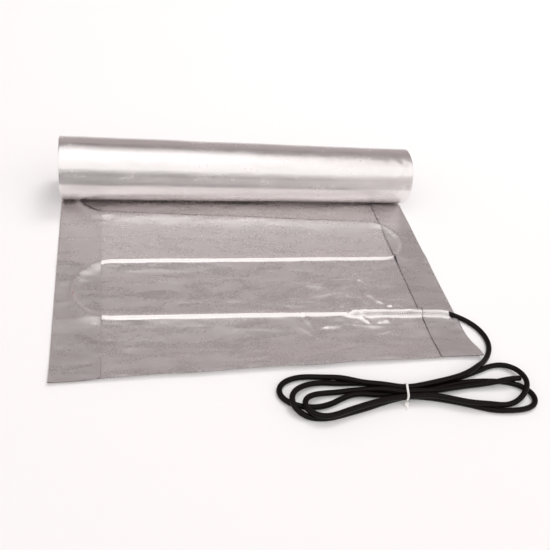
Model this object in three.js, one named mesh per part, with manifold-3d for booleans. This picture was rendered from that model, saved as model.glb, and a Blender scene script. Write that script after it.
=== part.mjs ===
// Underfloor heating mat, partly unrolled: a roll, a laid length of two foils with a heating cable
// between them, the joint sleeve at the cable's end, and a cold lead folded into a tied hank.
// Millimetres, +Z up. X runs across the mat, and the mat unrolls towards -Y. The pieces are placed
// from the roll's axis line on the floor, and one group then moves that line so that the origin
// lies under the middle of the mat.
import * as THREE from 'three';
import { mergeVertices } from 'three/addons/utils/BufferGeometryUtils.js';
import Module from 'manifold-3d';

// Mat
const MAT_WIDTH = 500;
const LAID_LENGTH = 332; // from the roll's axis to the front left corner
const FRONT_SKEW = 9; // the front edge is cut askew: the right corner lies nearer to the roll
const FOIL = 0.4; // one layer of foil with its scrim and glue
const LEFT_HEM = 53; // lower foil folded over the cover foil's edge
const RIGHT_HEM = 47;
const HEM_TUCK = 10; // how far the cover foil reaches in under each hem
const GAP = 0.3; // clearance between pieces that touch

// Roll
const ROLL_RADIUS = 41.5;
const BORE_RADIUS = 16;
const TURN_COUNT = 15;
const TURN_DEPTH = 1.2; // how deep the groove between two turns is on the end faces
const TURN_CREST = 0.45; // where the crest of a turn lies across it
const ROLL_SEGMENTS = 36;

// Heating cable, laid in runs across the mat
const CABLE_DIAMETER = 2.4;
const CABLE_SIDES = 8;
const FRONT_RUN = 241; // the run nearest the front edge, at its left end, in front of the roll's axis
const RUN_PITCH = 97;
const LEFT_TURN_MARGIN = 19; // from the mat's left edge to the cable in the turns there
const RIGHT_TURN_MARGIN = 27;
const RIGHT_TURN_RADIUS = 39; // tighter than the left turns, so the last run lies aslant
const TURN_STEPS = 10;

// Joint sleeve between the heating cable and the cold lead, under the foil
const SLEEVE_DIAMETER = 7.4;
const SLEEVE_LENGTH = 84;
const SLEEVE_TAPER = 9;
const SLEEVE_SIDES = 10;
const SLEEVE_END = [-62, -248.8]; // the face that the lead goes into, from the mat's right edge
const SLEEVE_SLANT = 1.6; // degrees, its inner end lies nearer to the roll

// Cold lead: a tube from the sleeve to the hank, then the hank, held at its waist by a tie. Its
// points are given as X from the mat's right edge, Y from the roll's axis and Z from the floor.
const LEAD_DIAMETER = 6.5;
const LEAD_SIDES = 10;
const FOILED_LEAD_POINTS = [
  [-51, -249, 4.4],
  [-41.2, -249.3, 4.4],
  [-31.5, -249.6, 4.4],
  [-22, -250.5, 4.4],
  [-12.8, -253, 4.4],
];
const FREE_LEAD_POINTS = [
  [-4, -257.5, 4.3],
  [5.5, -263.8, 4],
  [13.8, -271.2, 3.6],
  [20.3, -281, 3.4],
  [24.2, -292, 3.3],
  [24.6, -304, 3.3],
  [21.3, -315.3, 3.3],
  [13.8, -325.8, 3.3],
  [4, -334, 3.4],
  [-7, -341, 3.6],
];
const STRAND_SLACK = 0.2; // air between the strands of the hank
const HANK_HEIGHT = 2 * LEAD_DIAMETER + STRAND_SLACK;
const HANK_WAIST = [-110, -374];
const HANK_WAIST_WIDTH = 3.5 * LEAD_DIAMETER; // two layers of three strands, nested in each other
const LEFT_LOOP = [-228, -371.5];
const LEFT_LOOP_RADIUS = 32;
const RIGHT_LOOP = [17, -373];
const RIGHT_LOOP_RADIUS = 35;
const LOOP_STEPS = 14;
const TIE_WIDTH = 2.6;
const TIE_THICKNESS = 1.2;
const TIE_HEAD = 4.6;
const TIE_TAIL = 3;

// Worked out from the sizes above
const HALF_WIDTH = MAT_WIDTH / 2;
const HEM_LEFT_X = -HALF_WIDTH + LEFT_HEM;
const HEM_RIGHT_X = HALF_WIDTH - RIGHT_HEM;
const COVER_LEFT_X = HEM_LEFT_X - HEM_TUCK;
const COVER_RIGHT_X = HEM_RIGHT_X + HEM_TUCK;
const BASE_TOP = FOIL;
const COVER_TOP = 2 * FOIL;
const HEM_TOP = 3 * FOIL;
const CABLE_RADIUS = CABLE_DIAMETER / 2;
const CABLE_Z = BASE_TOP + GAP + CABLE_RADIUS;
const SLEEVE_RADIUS = SLEEVE_DIAMETER / 2;
const SLEEVE_Z = BASE_TOP + GAP + SLEEVE_RADIUS;
const LEAD_RADIUS = LEAD_DIAMETER / 2;
const LEFT_TURN_RADIUS = RUN_PITCH / 2;
const LEFT_TURN_X = -HALF_WIDTH + LEFT_TURN_MARGIN + LEFT_TURN_RADIUS;
const RIGHT_TURN_X = HALF_WIDTH - RIGHT_TURN_MARGIN - RIGHT_TURN_RADIUS;
const MAT_CENTRE_Y = (ROLL_RADIUS - LAID_LENGTH) / 2;
const REACH = 20; // how far cutting solids reach past what they cut

const wasm = await Module();
wasm.setup();

const foilSilver = new THREE.MeshStandardMaterial({ color: 0xb4aeac, roughness: 0.35, metalness: 0.9 });
const coverSilver = new THREE.MeshStandardMaterial({ color: 0xbab4b1, roughness: 0.3, metalness: 0.9 });
const rollSilver = new THREE.MeshStandardMaterial({ color: 0xbdb8b6, roughness: 0.28, metalness: 0.95 });
const cableRed = new THREE.MeshStandardMaterial({ color: 0x7a2a22, roughness: 0.55, metalness: 0 });
const sleeveBlack = new THREE.MeshStandardMaterial({ color: 0x17141a, roughness: 0.5, metalness: 0 });
const leadBlack = new THREE.MeshStandardMaterial({ color: 0x1c1718, roughness: 0.45, metalness: 0 });
const tieWhite = new THREE.MeshStandardMaterial({ color: 0xe9e7e1, roughness: 0.4, metalness: 0 });

// A closed geometry as a solid that can be cut and joined.
function solidOf(geometry) {
  const bare = geometry.index ? geometry.toNonIndexed() : geometry.clone();
  bare.deleteAttribute('normal');
  bare.deleteAttribute('uv');
  const merged = mergeVertices(bare, 1e-4);
  const vertProperties = new Float32Array(merged.attributes.position.array);
  const triVerts = new Uint32Array(merged.index.array);
  return new wasm.Manifold(new wasm.Mesh({ numProp: 3, vertProperties, triVerts }));
}

// The triangles of a solid as a geometry.
function geometryOf(solid) {
  const cut = solid.getMesh();
  const geometry = new THREE.BufferGeometry();
  geometry.setAttribute('position', new THREE.BufferAttribute(new Float32Array(cut.vertProperties), 3));
  geometry.setIndex(new THREE.BufferAttribute(new Uint32Array(cut.triVerts), 1));
  const faceted = geometry.toNonIndexed();
  faceted.computeVertexNormals();
  return faceted;
}

function part(name, geometry, material) {
  const mesh = new THREE.Mesh(geometry, material);
  mesh.name = name;
  return mesh;
}

// A path through stations, so that a straight stretch takes one step however long it is.
class StationPath extends THREE.Curve {
  constructor(stations) {
    super();
    this.stations = stations;
    this.steps = stations.length - 1;
  }

  getPoint(t, target = new THREE.Vector3()) {
    return target.copy(this.stations[Math.round(t * this.steps)]);
  }

  getPointAt(u, target) {
    return this.getPoint(u, target);
  }

  getTangentAt(u, target = new THREE.Vector3()) {
    const i = Math.round(u * this.steps);
    const here = this.stations[i];
    const before = this.stations[Math.max(i - 1, 0)];
    const after = this.stations[Math.min(i + 1, this.steps)];
    const arriving = here.clone().sub(before).normalize();
    const leaving = after.clone().sub(here).normalize();
    return target.copy(arriving.add(leaving)).normalize();
  }
}

// A closed section, given as across and up from the path, carried along level stations.
function sweep(section, stations) {
  const shape = new THREE.Shape(section.map(([across, up]) => new THREE.Vector2(-up, across)));
  const path = new StationPath(stations);
  return new THREE.ExtrudeGeometry(shape, { steps: path.steps, extrudePath: path });
}

function circle(radius, sides) {
  const points = [];
  for (let i = 0; i < sides; i++) {
    const angle = (2 * Math.PI * (i + 0.5)) / sides;
    points.push([radius * Math.cos(angle), radius * Math.sin(angle)]);
  }
  return points;
}

// A tunnel over something round: upright walls, sloping shoulders and a flat top.
function tunnel(halfWidth, axisHeight, foot) {
  const shoulder = halfWidth * Math.tan(Math.PI / 8);
  return [
    [-halfWidth, foot],
    [halfWidth, foot],
    [halfWidth, axisHeight + shoulder],
    [shoulder, axisHeight + halfWidth],
    [-shoulder, axisHeight + halfWidth],
    [-halfWidth, axisHeight + shoulder],
  ];
}

function arc(centreX, centreY, radius, fromDegrees, toDegrees, steps) {
  const stations = [];
  for (let i = 0; i <= steps; i++) {
    const angle = THREE.MathUtils.degToRad(fromDegrees + ((toDegrees - fromDegrees) * i) / steps);
    stations.push(
      new THREE.Vector3(centreX + radius * Math.cos(angle), centreY + radius * Math.sin(angle), 0)
    );
  }
  return stations;
}

function atHeight(stations, z) {
  return stations.map((station) => new THREE.Vector3(station.x, station.y, z));
}

function block(x0, x1, y0, y1, z0, z1) {
  const box = new THREE.BoxGeometry(x1 - x0, y1 - y0, z1 - z0);
  box.translate((x0 + x1) / 2, (y0 + y1) / 2, (z0 + z1) / 2);
  return box;
}

// A point given from the mat's right edge and the roll's axis.
function fromEdge([x, y, z = 0]) {
  return new THREE.Vector3(HALF_WIDTH + x, y, z);
}

function frontEdge(x) {
  return -LAID_LENGTH + (FRONT_SKEW * (x + HALF_WIDTH)) / MAT_WIDTH;
}

// A flat layer of the laid length between two lines along the mat.
function layer(x0, x1, z0, z1) {
  const outline = new THREE.Shape([
    new THREE.Vector2(x0, frontEdge(x0)),
    new THREE.Vector2(x1, frontEdge(x1)),
    new THREE.Vector2(x1, 0),
    new THREE.Vector2(x0, 0),
  ]);
  const plate = new THREE.ExtrudeGeometry(outline, { depth: z1 - z0, bevelEnabled: false });
  plate.translate(0, 0, z0);
  return plate;
}

// A ring about the X axis through the roll's axis, from a closed profile of [radius, x].
function turned(profile) {
  const geometry = new THREE.LatheGeometry(
    profile.map(([radius, x]) => new THREE.Vector2(radius, x)),
    ROLL_SEGMENTS
  );
  geometry.rotateZ(-Math.PI / 2);
  geometry.translate(0, 0, ROLL_RADIUS);
  return geometry;
}

// The rolled length, with one groove between each two turns on both end faces.
function matRoll() {
  const turn = (ROLL_RADIUS - BORE_RADIUS) / TURN_COUNT;
  const face = [[ROLL_RADIUS, HALF_WIDTH]];
  for (let i = TURN_COUNT - 1; i >= 0; i--) {
    face.push([BORE_RADIUS + (i + TURN_CREST) * turn, HALF_WIDTH]);
    face.push([BORE_RADIUS + i * turn, HALF_WIDTH - (i > 0 ? TURN_DEPTH : 0)]);
  }
  const otherFace = face.map(([radius, x]) => [radius, -x]).reverse();
  return turned([...otherFace, ...face, otherFace[0]]);
}

// Everything laid ends where the outermost turn comes down on it.
const nip = solidOf(
  turned([
    [0, -HALF_WIDTH - REACH],
    [ROLL_RADIUS + GAP, -HALF_WIDTH - REACH],
    [ROLL_RADIUS + GAP, HALF_WIDTH + REACH],
    [0, HALF_WIDTH + REACH],
  ])
);

// The stations of the heating cable, from the sleeve to the turn that the roll covers.
const middleRunY = -FRONT_RUN + RUN_PITCH;
const lastRunY = middleRunY + RUN_PITCH;
const slant = THREE.MathUtils.degToRad(SLEEVE_SLANT);
const inward = new THREE.Vector3(-Math.cos(slant), Math.sin(slant), 0);
const sleeveEnd = fromEdge(SLEEVE_END);
const sleeveStart = sleeveEnd.clone().addScaledVector(inward, SLEEVE_LENGTH);
const firstTurnY = middleRunY - LEFT_TURN_RADIUS;
const firstTurn = arc(LEFT_TURN_X, firstTurnY, LEFT_TURN_RADIUS, 270, 90, TURN_STEPS);
const rightTurnY = middleRunY + RIGHT_TURN_RADIUS;
const rightTurn = arc(RIGHT_TURN_X, rightTurnY, RIGHT_TURN_RADIUS, -90, 90, TURN_STEPS);
const hiddenTurnY = lastRunY + LEFT_TURN_RADIUS;
const hiddenTurn = arc(LEFT_TURN_X, hiddenTurnY, LEFT_TURN_RADIUS, 270, 180, TURN_STEPS / 2);
const serpentine = [...firstTurn, ...rightTurn, ...hiddenTurn];
const cableRoute = [sleeveStart.clone().addScaledVector(inward, GAP), ...serpentine];

function heatingCable() {
  const tube = sweep(circle(CABLE_RADIUS, CABLE_SIDES), atHeight(cableRoute, CABLE_Z));
  return geometryOf(solidOf(tube).subtract(nip));
}

// A round sleeve that tapers to the cable at its inner end.
function jointSleeve() {
  const taperX = SLEEVE_LENGTH - SLEEVE_TAPER;
  const profile = [
    [0, 0],
    [SLEEVE_RADIUS, 0],
    [SLEEVE_RADIUS, taperX],
    [CABLE_RADIUS + FOIL, SLEEVE_LENGTH],
    [0, SLEEVE_LENGTH],
  ];
  const sleeve = new THREE.LatheGeometry(
    profile.map(([radius, along]) => new THREE.Vector2(radius, along)),
    SLEEVE_SIDES
  );
  sleeve.rotateZ(Math.PI / 2 - slant);
  sleeve.translate(sleeveEnd.x, sleeveEnd.y, SLEEVE_Z);
  return sleeve;
}

// The space over the cable, the sleeve and the foiled lead, spread by a clearance on all sides. The
// lead's space ends with the foil over it, or goes on past the edge of the mat.
function space(spread, foot, pastEdge) {
  const overCable = sweep(tunnel(CABLE_RADIUS + spread, CABLE_Z, foot), [sleeveStart, ...serpentine]);
  const leadPoints = [...FOILED_LEAD_POINTS, ...(pastEdge ? FREE_LEAD_POINTS.slice(0, 3) : [])];
  const thickRoute = [
    sleeveStart.clone().addScaledVector(inward, spread),
    sleeveEnd,
    ...leadPoints.map(([x, y]) => fromEdge([x, y])),
  ];
  const overLead = sweep(tunnel(SLEEVE_RADIUS + spread, SLEEVE_Z, foot), thickRoute);
  return solidOf(overCable).add(solidOf(overLead));
}

// The part of a solid that lies between two planes across X.
function between(solid, x0, x1) {
  return solid.intersect(solidOf(block(x0, x1, -LAID_LENGTH, LAID_LENGTH, -REACH, REACH)));
}

const coverOuter = space(GAP + FOIL, BASE_TOP, false);
const hemInner = space(2 * GAP + FOIL, BASE_TOP, false);
const hemOuter = space(2 * GAP + 2 * FOIL, BASE_TOP, false);

// The middle foil, raised over the cable runs that it holds down.
function coverFoil() {
  const sheet = solidOf(layer(COVER_LEFT_X, COVER_RIGHT_X, BASE_TOP, COVER_TOP));
  const ridges = between(coverOuter, COVER_LEFT_X, COVER_RIGHT_X);
  const below = space(GAP, 0, true);
  return geometryOf(sheet.add(ridges).subtract(below).subtract(nip));
}

// The foil under the mat, folded over at both sides, where it holds the cable's turns.
function lowerFoil() {
  const base = solidOf(layer(-HALF_WIDTH, HALF_WIDTH, 0, BASE_TOP));
  const leftHem = solidOf(layer(-HALF_WIDTH, HEM_LEFT_X, 0, HEM_TOP));
  const rightHem = solidOf(layer(HEM_RIGHT_X, HALF_WIDTH, 0, HEM_TOP));
  const leftTurns = between(hemOuter, -HALF_WIDTH, HEM_LEFT_X);
  const rightTurns = between(hemOuter, HEM_RIGHT_X, HALF_WIDTH);
  const folded = base.add(leftHem).add(rightHem).add(leftTurns).add(rightTurns);
  const tucks = solidOf(layer(COVER_LEFT_X - GAP, COVER_RIGHT_X + GAP, BASE_TOP, COVER_TOP));
  const overCover = between(hemInner, COVER_LEFT_X - GAP, COVER_RIGHT_X + GAP);
  const overCable = space(GAP, BASE_TOP, true);
  return geometryOf(folded.subtract(tucks).subtract(overCover).subtract(overCable).subtract(nip));
}

const waist = fromEdge(HANK_WAIST);

// Two round loops joined by a narrow waist. Straight lines run from the waist's corners to where
// they touch each loop's circle: the angle there, seen from the centre, is acos(radius / distance).
function hankOutline(spread) {
  const half = HANK_WAIST_WIDTH / 2 + spread;
  const points = [];
  const addLoop = (centre, radius, side) => {
    const touch = (up) => {
      const dx = waist.x - centre.x;
      const dy = waist.y + up * half - centre.y;
      return Math.atan2(dy, dx) - side * up * Math.acos(radius / Math.hypot(dx, dy));
    };
    const from = touch(-side);
    const turn = THREE.MathUtils.euclideanModulo(touch(side) - from, 2 * Math.PI);
    for (let i = 0; i <= LOOP_STEPS; i++) {
      const angle = from + (turn * i) / LOOP_STEPS;
      points.push(
        new THREE.Vector2(centre.x + radius * Math.cos(angle), centre.y + radius * Math.sin(angle))
      );
    }
  };
  points.push(new THREE.Vector2(waist.x, waist.y - half));
  addLoop(fromEdge(RIGHT_LOOP), RIGHT_LOOP_RADIUS + spread, 1);
  points.push(new THREE.Vector2(waist.x, waist.y + half));
  addLoop(fromEdge(LEFT_LOOP), LEFT_LOOP_RADIUS + spread, -1);
  return new THREE.Shape(points);
}

function hankBody(spread) {
  return solidOf(
    new THREE.ExtrudeGeometry(hankOutline(spread), { depth: HANK_HEIGHT + spread, bevelEnabled: false })
  );
}

// The folded lead, lifted off the floor at its waist by the tie that passes under it.
function leadHank() {
  const groove = TIE_THICKNESS + GAP;
  const half = TIE_WIDTH / 2 + GAP;
  const under = block(
    waist.x - half,
    waist.x + half,
    waist.y - HANK_WAIST_WIDTH,
    waist.y + HANK_WAIST_WIDTH,
    -REACH,
    groove
  );
  return geometryOf(hankBody(0).subtract(solidOf(under)));
}

// The lead along its route from the sleeve, cut off where it meets the side of the hank.
function leadTube() {
  const start = fromEdge([...SLEEVE_END, SLEEVE_Z]).addScaledVector(inward, -GAP);
  const route = [...FOILED_LEAD_POINTS, ...FREE_LEAD_POINTS].map(fromEdge);
  const curve = new THREE.CatmullRomCurve3([start, ...route], false, 'centripetal');
  const steps = Math.ceil(curve.getLength() / (2 * LEAD_DIAMETER));
  const outline = circle(LEAD_RADIUS, LEAD_SIDES).map(([x, y]) => new THREE.Vector2(x, y));
  const tube = new THREE.ExtrudeGeometry(new THREE.Shape(outline), { steps, extrudePath: curve });
  return geometryOf(solidOf(tube).subtract(hankBody(GAP)));
}

// A rounded rectangle across the hank, seen along X.
function ringOutline(halfWidth, bottom, top, corner) {
  const shape = new THREE.Shape();
  shape.moveTo(-halfWidth + corner, bottom);
  shape.lineTo(halfWidth - corner, bottom);
  shape.absarc(halfWidth - corner, bottom + corner, corner, -Math.PI / 2, 0);
  shape.lineTo(halfWidth, top - corner);
  shape.absarc(halfWidth - corner, top - corner, corner, 0, Math.PI / 2);
  shape.lineTo(-halfWidth + corner, top);
  shape.absarc(-halfWidth + corner, top - corner, corner, Math.PI / 2, Math.PI);
  shape.lineTo(-halfWidth, bottom + corner);
  shape.absarc(-halfWidth + corner, bottom + corner, corner, Math.PI, 1.5 * Math.PI);
  return shape;
}

// The tie: a strap round the waist, with its head and cut tail in front, one moulded piece.
function cableTie() {
  const innerHalf = HANK_WAIST_WIDTH / 2 + GAP;
  const outerHalf = innerHalf + TIE_THICKNESS;
  const top = HANK_HEIGHT + GAP + TIE_THICKNESS;
  const strap = ringOutline(outerHalf, 0, top, GAP + TIE_THICKNESS);
  strap.holes.push(ringOutline(innerHalf, TIE_THICKNESS, top - TIE_THICKNESS, GAP));
  const ring = new THREE.ExtrudeGeometry(strap, { depth: TIE_WIDTH, bevelEnabled: false, curveSegments: 3 });
  ring.translate(0, 0, -TIE_WIDTH / 2);
  ring.rotateX(Math.PI / 2);
  ring.rotateZ(Math.PI / 2);
  ring.translate(waist.x, waist.y, 0);
  const front = waist.y - outerHalf;
  const headHalf = TIE_HEAD / 2;
  const head = block(
    waist.x - headHalf,
    waist.x + headHalf,
    front - TIE_HEAD + TIE_THICKNESS,
    front + TIE_THICKNESS / 2,
    TIE_THICKNESS / 2,
    TIE_THICKNESS / 2 + TIE_HEAD
  );
  const tail = block(
    waist.x - TIE_WIDTH / 2,
    waist.x + TIE_WIDTH / 2,
    front - TIE_HEAD - TIE_TAIL,
    front - TIE_THICKNESS,
    TIE_HEAD / 2,
    TIE_HEAD / 2 + TIE_THICKNESS
  );
  return geometryOf(solidOf(ring).add(solidOf(head)).add(solidOf(tail)));
}

const mat = new THREE.Group();
mat.position.y = -MAT_CENTRE_Y;
mat.add(part('mat_roll', matRoll(), rollSilver));
mat.add(part('lower_foil', lowerFoil(), foilSilver));
mat.add(part('cover_foil', coverFoil(), coverSilver));
mat.add(part('heating_cable', heatingCable(), cableRed));
mat.add(part('joint_sleeve', jointSleeve(), sleeveBlack));
mat.add(part('cold_lead', leadTube(), leadBlack));
mat.add(part('cold_lead_hank', leadHank(), leadBlack));
mat.add(part('cable_tie', cableTie(), tieWhite));

const heatingMat = new THREE.Group();
heatingMat.add(mat);

export default heatingMat;
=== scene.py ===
import math

import bpy
import numpy as np
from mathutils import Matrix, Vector


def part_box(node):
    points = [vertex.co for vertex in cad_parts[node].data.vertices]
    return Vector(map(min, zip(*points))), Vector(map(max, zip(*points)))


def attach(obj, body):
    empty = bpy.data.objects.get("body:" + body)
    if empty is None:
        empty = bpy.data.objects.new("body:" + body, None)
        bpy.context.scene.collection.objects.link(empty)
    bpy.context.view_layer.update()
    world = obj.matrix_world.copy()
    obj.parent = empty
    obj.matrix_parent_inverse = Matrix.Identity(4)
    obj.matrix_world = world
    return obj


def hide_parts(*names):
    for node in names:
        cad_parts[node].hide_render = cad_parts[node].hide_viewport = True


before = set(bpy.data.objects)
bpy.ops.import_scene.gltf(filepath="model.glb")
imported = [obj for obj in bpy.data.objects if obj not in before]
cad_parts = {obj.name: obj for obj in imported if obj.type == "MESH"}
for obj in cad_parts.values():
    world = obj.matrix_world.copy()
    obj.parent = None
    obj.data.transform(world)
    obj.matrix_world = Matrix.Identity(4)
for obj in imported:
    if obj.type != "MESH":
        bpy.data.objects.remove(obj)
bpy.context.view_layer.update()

bl_info = {
    "name": "Underfloor heating mat",
    "version": (1, 0, 0),
    "blender": (4, 5, 0),
    "location": "View3D > Sidebar > Heating mat",
    "description": "A foil heating mat, partly unrolled, with its tied cold lead",
    "category": "Object",
}

# Lengths are in millimetres from the roll's axis line on the floor, as in the part's source.
MM = 0.001
roll_low, roll_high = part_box("mat_roll")
ROLL_Y = (roll_low[1] + roll_high[1]) / 2 / MM
ROLL_RADIUS = 41.5
BORE_RADIUS = 16.0
TURN_COUNT = 15
HALF_WIDTH = 250.0
LAID_LENGTH = 332.0
FRONT_SKEW = 9.0
LEFT_SEAM = -197.0
RIGHT_SEAM = 203.0
HEM_TUCK = 10.0
NIP_Y = -11.2

# The lines that the cable runs follow across the mat, as X and Y.
FRONT_RUN = (
    [-250, -182, 104, 188, 209, 228, 237.2, 250],
    [-241, -241, -246.5, -248.8, -249.3, -250.5, -253, -258.5],
)
MIDDLE_RUN = ([-250, 250], [-144, -144])
LAST_RUN = ([-250, -182, 184, 250], [-47, -47, -66, -66])
RUN_LEFT = -182.5
RUN_RIGHT = 184.0
# The cable's half turns: centre X and Y, radius, and the side that they bulge to.
TURNS = ((RUN_LEFT, -192.5, 48.5, -1), (RUN_RIGHT, -105.0, 39.0, 1), (RUN_LEFT, 1.5, 48.5, -1))
SLEEVE_X = (104.0, 188.0)
LEAD_OUT_X = 238.0

# Foils: thickness, height of their tops where they lie flat, and the place and bulge of the folds.
FOIL_THICKNESS = 0.12
COVER_BASE = 0.8
HEM_BASE = 1.2
FOLD_INSET = 0.9
FOLD_BULGE = 1.7
SLEEVE_RIDGE = 7.9
ROW_STEP = 1.75

# The camera's place, from the fit to the photograph, in the same millimetres.
EYE = np.array([-178.3, -777.81, 580.56])
VIEW_TURN = (47.1362, -8.6608, -10.5046)
VIEW_LENS = 42.96

# Cold lead: where each stretch lies as seen by the camera, on the plane 4 mm over the floor.
SIGHT_HEIGHT = 4.0
LEAD_START = (188.0, -248.8, 4.4)
LEAD_OUT = [
    (199, -249), (208.8, -249.3), (218.5, -249.6), (228, -250.5), (237.2, -253), (246, -257.5),
    (255.5, -263.8), (263.8, -271.2), (270.3, -281), (274.2, -292), (274.6, -304), (271.3, -315.3),
    (263.8, -325.8), (252, -337), (245, -342), (235, -346), (220, -352), (207, -355), (194, -358),
    (182, -360), (170, -362), (158, -363),
]
LEFT_OUTER = [
    (119, -360), (101, -357), (84, -353), (72, -350), (55, -347), (40, -344), (28, -344), (17, -343),
    (7, -346), (-1, -349.5), (-7, -354), (-10, -359.5), (-10, -364.5), (-7.5, -369.5), (-3, -374),
    (3, -378), (12, -381.5), (21, -383), (30, -384), (40, -384), (49, -383), (56, -378), (67, -372),
    (80, -369), (89, -369), (109, -371),
]
RIGHT_LOWER = [
    (167, -369), (185, -366), (203, -364), (221, -364), (237, -364), (253, -365), (263, -366),
    (273, -368), (282, -371), (287, -374), (293.5, -377.5), (297, -381.5), (299, -386.5), (299, -393),
    (294.5, -399), (287, -403.5), (278, -405), (271, -406), (264, -406), (255, -405), (246, -404),
    (234, -401), (222, -398), (211, -395), (198, -391), (183, -387), (168, -382),
]
LEFT_MIDDLE = [
    (118, -382), (105, -385), (92, -389), (79, -392), (67, -394), (54, -396), (47, -400), (37, -400),
    (27, -398), (20, -396), (15, -393), (9, -389), (6, -384), (4, -380), (4, -375), (5, -370),
    (7, -366), (11, -361), (16, -358), (22, -355), (30, -353), (38, -352), (49, -352), (65, -354),
    (83, -355), (101, -358), (118, -363),
]
RIGHT_UPPER = [
    (161, -369), (174, -366), (186, -364), (198, -361), (211, -358), (237, -348), (245, -346),
    (253, -344), (261, -342), (268, -341), (275, -341), (282, -341), (288, -343), (293, -347),
    (296, -352), (298, -358), (298, -365), (296, -371), (292, -377), (288, -383), (281, -388),
    (274, -393), (265, -396), (258, -398), (248, -399), (235, -397), (223, -394), (214, -391),
    (199, -387), (184, -382), (169, -377),
]
LEFT_INNER = [
    (112, -380), (99, -383), (86, -386), (74, -389), (61, -391), (48, -396), (40, -397.5), (33, -397),
    (26, -394.5), (20.5, -390.5), (17, -386), (15.5, -381.5), (16, -377.5), (19, -373), (24, -370),
    (31, -367.5), (39, -366.5), (50, -367), (60, -368), (80, -366), (98, -367), (116, -367),
]
TAIL = [
    (171, -372), (189, -370), (207, -369), (225, -367), (236, -367), (252, -366), (264, -364),
    (275, -363), (291, -362),
]
# Height of the lead's line along each stretch, as point number and height: on the floor, on a
# strand below, or over a crossing.
LEAD_HEIGHTS = {
    "out": [(0, 4.4), (4, 4.4), (7, 3.6), (11, 3.3), (13, 4.5), (15, 9.5), (21, 10.1)],
    "left_outer": [(0, 10.1), (3, 9.6), (6, 3.3), (24, 3.3), (25, 4.5)],
    "right_lower": [(0, 4.5), (3, 3.3), (24, 3.3), (26, 4.5)],
    "left_middle": [
        (0, 4.5), (2, 3.3), (8, 3.3), (11, 6.5), (13, 9.8), (14, 9.8), (16, 7), (19, 3.3), (25, 3.3),
        (26, 4.5),
    ],
    "right_upper": [
        (0, 4.5), (2, 3.3), (13, 3.3), (15, 6), (17, 9.8), (18, 9.8), (21, 7), (24, 8.5), (26, 9.8),
        (30, 10.1),
    ],
    "left_inner": [
        (0, 10.1), (3, 9.8), (5, 8), (6, 5.5), (8, 7.5), (10, 9.8), (12, 9.8), (14, 6), (16, 3.3),
        (19, 3.3), (21, 10),
    ],
    "tail": [(0, 10.1), (5, 9.8), (6, 9.6), (8, 5)],
}
# The six passes through the tie, as Y and Z, in the order that the lead makes them.
TIE_X = 140.0
LEAST_BEND = 19.5
FLOOR_GAP = 0.05
STRETCH_SPACING = 5.0
# The strap's section, as X and distance from the hank, how much it leans, and its head's place.
STRAP_SECTION = np.array([
    (-1.3, 0.15), (-1.1, 0), (1.1, 0), (1.3, 0.15), (1.3, 0.75), (1.05, 1.0), (-1.05, 1.0), (-1.3, 0.75),
])
STRAP_LEAN = 0.22
TIE_HEAD_X = TIE_X - 5
TIE_PASSES = [(-369.2, 10.1), (-372.5, 4.5), (-379, 4.5), (-366, 4.5), (-382.2, 10.1), (-375.7, 10.1)]


class HeatingMatSettings(bpy.types.PropertyGroup):
    foil_colour: bpy.props.FloatVectorProperty(
        name="Foil colour", description="Colour of the bare foil", subtype="COLOR",
        default=(0.87, 0.835, 0.83), min=0, max=1, size=3,
    )
    foil_roughness: bpy.props.FloatProperty(
        name="Foil roughness", description="How dull the foil is, from 0, a mirror, to 1",
        default=0.27, min=0.05, max=1, subtype="FACTOR",
    )
    scrim_pitch: bpy.props.FloatProperty(
        name="Scrim pitch", description="Distance between two threads of the scrim",
        default=0.0022, min=0.0005, max=0.02, unit="LENGTH",
    )
    ridge_height: bpy.props.FloatProperty(
        name="Ridge height", description="How far the foil rises over the heating cable",
        default=0.0029, min=0.0025, max=0.006, unit="LENGTH",
    )
    lead_diameter: bpy.props.FloatProperty(
        name="Lead diameter", description="Diameter of the cold lead",
        default=0.0065, min=0.004, max=0.0066, unit="LENGTH",
    )
    lead_colour: bpy.props.FloatVectorProperty(
        name="Lead colour", description="Colour of the cold lead's jacket", subtype="COLOR",
        default=(0.006, 0.0032, 0.0032), min=0, max=1, size=3,
    )
    tie_colour: bpy.props.FloatVectorProperty(
        name="Tie colour", description="Colour of the nylon tie", subtype="COLOR",
        default=(0.86, 0.85, 0.82), min=0, max=1, size=3,
    )


def in_metres(points):
    """Moves points from the roll's axis line to the part's frame, and turns them into metres."""
    return (np.asarray(points, float) + (0.0, ROLL_Y, 0.0)) * MM


def grid_quads(rows, columns, close_rows=False, close_columns=False):
    """Quads of a grid of points, stored row by row, that may close on itself either way."""
    row = np.arange(rows if close_rows else rows - 1)[:, None]
    column = np.arange(columns if close_columns else columns - 1)[None, :]
    next_row = (row + 1) % rows
    next_column = (column + 1) % columns
    corners = [row * columns + column, row * columns + next_column,
               next_row * columns + next_column, next_row * columns + column]
    return np.stack(corners, -1).reshape(-1, 4)


def shell_caps(rows, columns):
    """Quads that close both ends of a thin shell whose section goes out along half of its columns
    and comes back along the other half."""
    half = columns // 2
    near = np.arange(half - 1)
    cap = np.stack([near, columns - 1 - near, columns - 2 - near, near + 1], -1)
    return np.concatenate([cap, cap[:, ::-1] + (rows - 1) * columns])


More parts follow.
